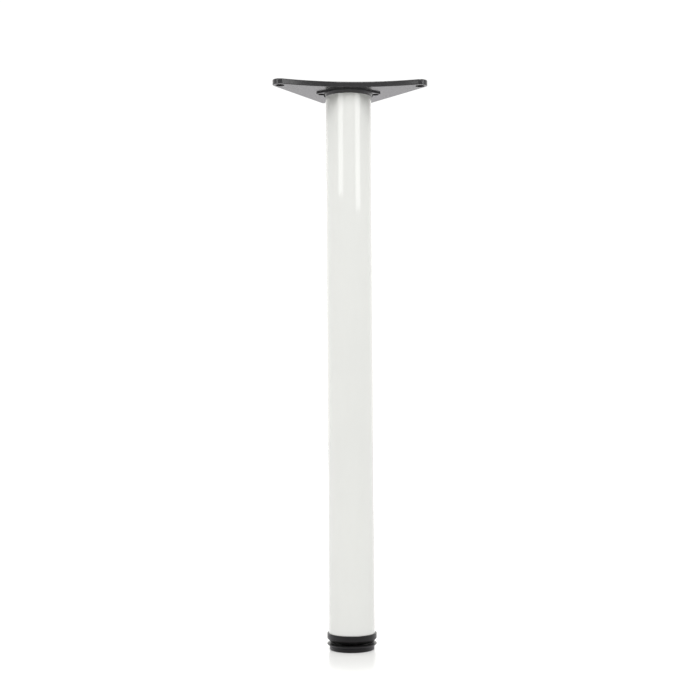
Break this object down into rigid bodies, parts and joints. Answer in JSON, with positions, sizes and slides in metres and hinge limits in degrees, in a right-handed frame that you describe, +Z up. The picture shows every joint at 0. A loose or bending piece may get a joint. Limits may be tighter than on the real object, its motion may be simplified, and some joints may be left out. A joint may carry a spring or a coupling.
{
  "type": "height adjustable table leg",
  "caption": "Round white tubular table leg with a black mounting plate on top and a black foot that screws in and out to level the table.",
  "frame": {"origin": "centre of the underside of the foot, on the floor, with the foot screwed out 1.6 mm as in the picture", "axes": "+Z up along the tube's axis towards the mounting plate; -Y towards the plate's wide hollow front edge; +X to the right as seen from the front"},
  "size_m": [0.198, 0.113, 0.73],
  "materials": {
    "white_paint": "gloss",
    "black_paint": "semi gloss",
    "black_plastic": "moulded satin",
    "steel": "zinc plated"
  },
  "bodies": {
    "glide": {"glide_pad": "black_plastic"},
    "leg": {"mounting_plate": "black_paint", "plate_bolt": "steel", "top_plug": "black_plastic", "plug_nut": "steel", "tube": "white_paint", "foot_bush": "black_plastic", "bush_nut": "steel"},
    "foot": {"foot_base": "black_plastic", "foot_stem": "steel", "stop_nut": "steel"}
  },
  "joints": [
    {"name": "foot_height", "type": "slide", "parent": "glide", "child": "leg", "axis": [0, 0, 1], "range_m": [-0.0012, 0.0185]},
    {"name": "foot_turn", "type": "hinge", "parent": "glide", "child": "foot", "pos_m": [0, 0, 0.01], "axis": [0, 0, -1], "range_deg": [-288.5, 4440.5]}
  ],
  "couplings": [
    {"joint": "foot_turn", "follows": "foot_height", "rad_per_m": 4188.8}
  ]
}
